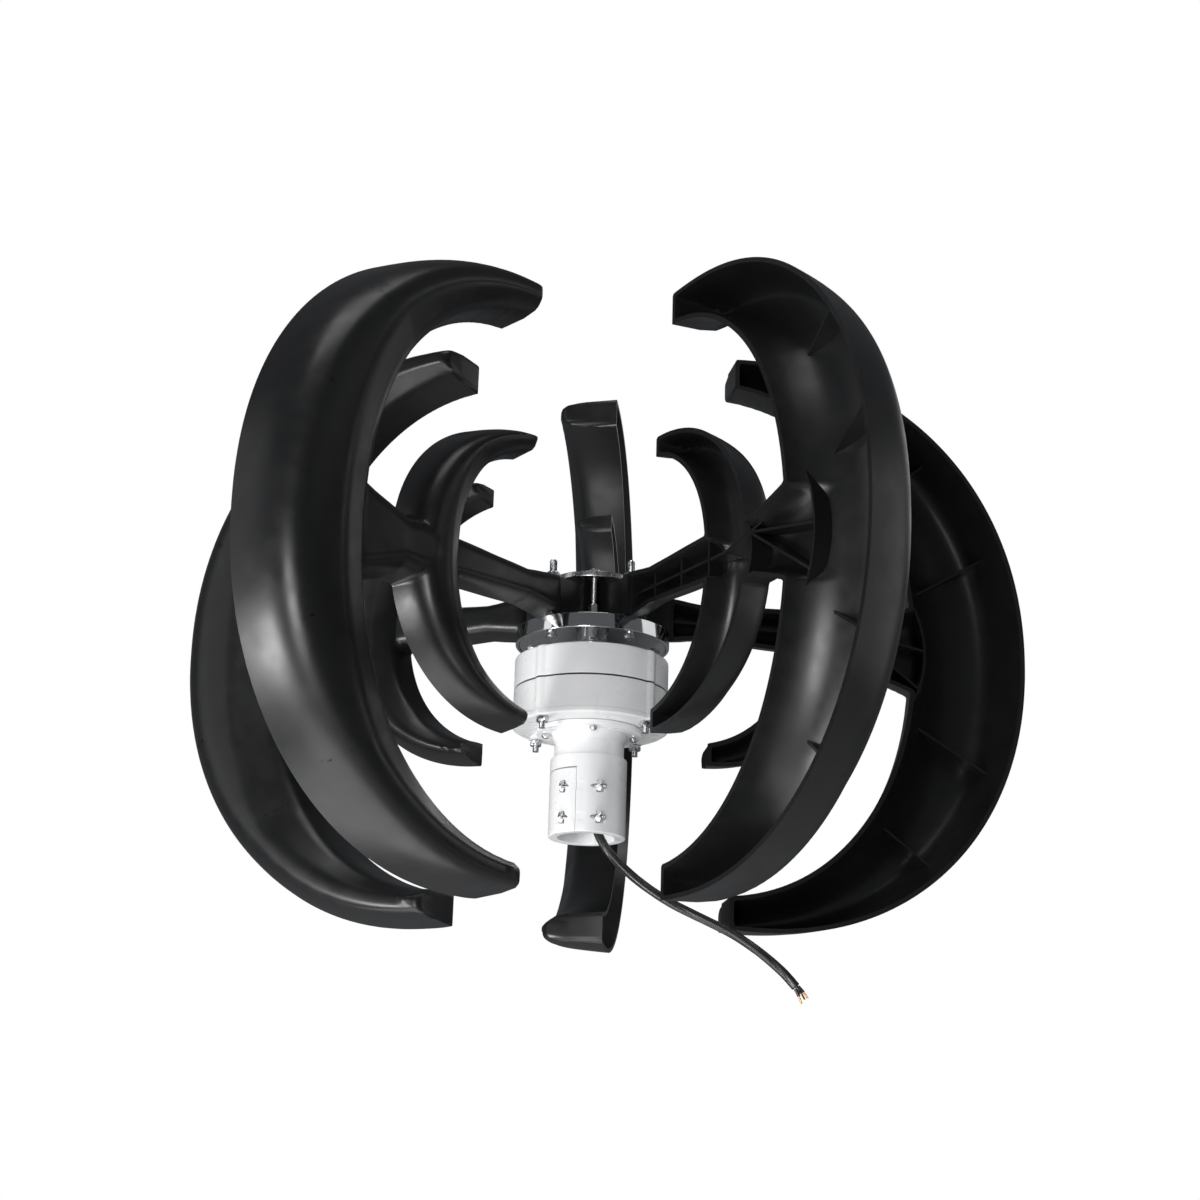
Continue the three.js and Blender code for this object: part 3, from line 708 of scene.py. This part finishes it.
finish_piece(turned("lower_housing_piece", [
    (6.3, 83), (57.6, 83, 0.3), (59.4, 84.2, 0.6), (59.4, 87.2, 0.5), (58.8, 87.8, 0.4), (58.8, 111.7, 0.5),
    (54.8, 111.7), (54.8, 87.6), (20, 87.6), (20, 99.5), (16, 99.5), (16, 89.8), (12.5, 89.8), (12.5, 87.6),
    (6.3, 87.6),
], 360, boss_bump), "white_paint", "stator", "lower_housing")
finish_piece(turned("upper_housing_piece", [
    (54.8, 113), (58.8, 113, 0.5), (58.8, 137.2, 2.2), (12.3, 137.2, 0.3), (12.3, 132.8), (16, 132.8),
    (16, 122.8), (20, 122.8), (20, 132.5), (54.8, 132.5),
], 360, boss_bump), "white_paint", "stator", "upper_housing")
finish_piece(turned("gasket_piece", [
    (54.8, 112), (58.3, 112, 0.15), (58.3, 112.7, 0.15), (54.8, 112.7),
], 360, boss_bump), "rubber", "stator", "housing_gasket")
housing_bolt = joined("housing_bolt_template", [
    threaded("shank", 2.5, 74, 88, 0.8, start=74),
    nut("nut", 4.2, 78.5, 82.7),
])
copies(housing_bolt, "housing_bolt", 4, "steel", "stator", ["housing_bolt"])


def screw_head(name):
    """A pan head with a cross recess."""
    head = turned(name, [(0.01, 75.6), (1.6, 75.6, 0.3), (3, 77, 0.6), (3, 78.7, 0.2), (0.01, 78.7)], 32)
    for turn in (0, 90):
        slot = block("slot", (-1.7, -0.35, 75), (1.7, 0.35, 76.7))
        slot.data.transform(Matrix.Rotation(math.radians(turn), 4, "Z"))
        head = combine(head, slot, "DIFFERENCE")
    resmooth(head)
    return head


copies(screw_head("flange_screw_template"), "flange_screw", 4, "steel", "stator", ["flange_screw"])

# ---------- sleeve and clamp ----------
SLEEVE_PROFILE = [
    (21.7, 0, 0.5), (29, 0, 0.8), (29, 59.6, 0.9), (26.4, 60.2, 0.4), (26.4, 72, 2), (29.0, 79, 0.5),
    (40, 79, 0.6), (40, 82.7, 0.6), (9, 82.7, 0.3), (9, 77.5), (19, 77.5), (19, 60.2), (21.7, 58.2),
]
SEAM = 252
BOLT_HEIGHTS = (11, 34.4)
BOLT_OFFSET = 25.5


def across_seam(piece, side):
    """Turns a piece made at azimuth 0 to one of the two seams."""
    piece.data.transform(Matrix.Rotation(math.radians(SEAM + 4 + side), 4, "Z"))
    return piece


def pocketed(body):
    """Cuts the recess of each clamp bolt, with a deeper seat at both of its ends."""
    for side in (0, 180):
        for height in BOLT_HEIGHTS:
            for low, high in (((28.4, -10.5, height - 3.4), (40, 10.5, height + 3.4)),
                              ((22.3, 13, height - 4.6), (40, 30, height + 4.6)),
                              ((22.3, -28, height - 4.6), (40, -10.8, height + 4.6))):
                body = combine(body, across_seam(block("pocket", low, high), side), "DIFFERENCE")
    return body


sleeve = turned("pole_sleeve_piece", SLEEVE_PROFILE, 160)
band = turned("band", [(18, -6), (36, -6), (36, 49.3), (18, 49.3)], 96, first=SEAM - 180 - 0.3, sweep=180.6)
sleeve = pocketed(combine(sleeve, band, "DIFFERENCE"))
resmooth(sleeve)
finish_piece(sleeve, "white_paint", "stator", "pole_sleeve")
clamp = turned("clamp_half_piece", [
    (21.7, 0, 0.5), (29, 0, 0.8), (29, 48.5, 0.8), (21.7, 48.5, 0.4),
], 96, first=SEAM - 180 + 0.3, sweep=179.4)
clamp = pocketed(clamp)
resmooth(clamp)
finish_piece(clamp, "white_paint", "stator", "clamp_half")
number = 1
for side in (0, 180):
    for height in BOLT_HEIGHTS:
        bolt = joined("clamp_bolt", [
            threaded("shank", 2.4, -14, 20, 0.9, start=4),
            nut("nut", 4, 13.6, 17.6),
            nut("head", 4, -15, -11.4),
        ])
        bolt.data.transform(Matrix.Rotation(math.radians(90 if side else -90), 4, "X"))
        bolt.data.transform(Matrix.Translation((BOLT_OFFSET * MM, 0, height * MM)))
        across_seam(bolt, side)
        bolt.name = f"clamp_bolt_piece_{number}"
        finish_piece(bolt, "steel", "stator", f"clamp_bolt_{number}")
        number += 1

finish_piece(turned("cable_gland_piece", [
    (0.01, 73.3), (3.4, 73.3), (4.6, 73.6, 0.4), (5.4, 76, 0.4), (5.6, 80.8, 0.2), (6, 81), (6, 88),
    (0.01, 88),
], 48), "cable_vinyl", "stator", "cable_gland")

# ---------- stage and light ----------
floor_mesh = bpy.data.meshes.new("floor")
floor_mesh.from_pydata([(-9, -9, -1.0), (9, -9, -1.0), (9, 9, -1.0), (-9, 9, -1.0)], [], [(0, 1, 2, 3)])
floor = bpy.data.objects.new("floor", floor_mesh)
SCENE.collection.objects.link(floor)
floor.data.materials.append(surface("floor_pale", (0.86, 0.86, 0.86), (0.88, 0.88, 0.88), (0.6, 0.7), scale=2,
                                    grain=40))

world = bpy.data.worlds.new("studio")
SCENE.world = world
world.use_nodes = True
tree = world.node_tree
background = tree.nodes["Background"]
path = tree.nodes.new("ShaderNodeLightPath")
white = tree.nodes.new("ShaderNodeBackground")
mix = tree.nodes.new("ShaderNodeMixShader")
background.inputs["Color"].default_value = (0.30, 0.31, 0.33, 1)
background.inputs["Strength"].default_value = 0.34
white.inputs["Color"].default_value = (1, 1, 1, 1)
white.inputs["Strength"].default_value = 1.0
tree.links.new(path.outputs["Is Camera Ray"], mix.inputs[0])
tree.links.new(background.outputs[0], mix.inputs[1])
tree.links.new(white.outputs[0], mix.inputs[2])
tree.links.new(mix.outputs[0], tree.nodes["World Output"].inputs["Surface"])


def softbox(name, place, target, width, height, power):
    data = bpy.data.lights.new(name, "AREA")
    data.shape = "RECTANGLE"
    data.size = width
    data.size_y = height
    data.energy = power
    light = bpy.data.objects.new(name, data)
    SCENE.collection.objects.link(light)
    light.location = place
    light.visible_camera = False
    light.rotation_euler = (Vector(target) - Vector(place)).to_track_quat("-Z", "Y").to_euler()


softbox("left", (-2.4, -0.9, 0.5), (0, 0, 0.15), 0.6, 2.4, 4)
softbox("left_low", (-1.9, -1.25, -0.78), (-0.2, -0.25, 0.05), 0.55, 0.75, 36)
softbox("below", (-0.45, -0.25, -0.97), (-0.45, -0.25, 0.1), 1.0, 1.3, 9)
softbox("front", (-0.6, -2.6, -0.3), (-0.1, -0.1, 0.1), 0.7, 0.9, 28)
softbox("right", (2.4, 0.1, 0.35), (0, 0, 0.15), 1.2, 1.8, 5)
softbox("top", (0.1, -0.9, 2.4), (0, 0, 0.15), 1.8, 1.0, 14)
softbox("back", (1.6, 2.2, 1.4), (0, 0, 0.15), 2.0, 0.8, 3)
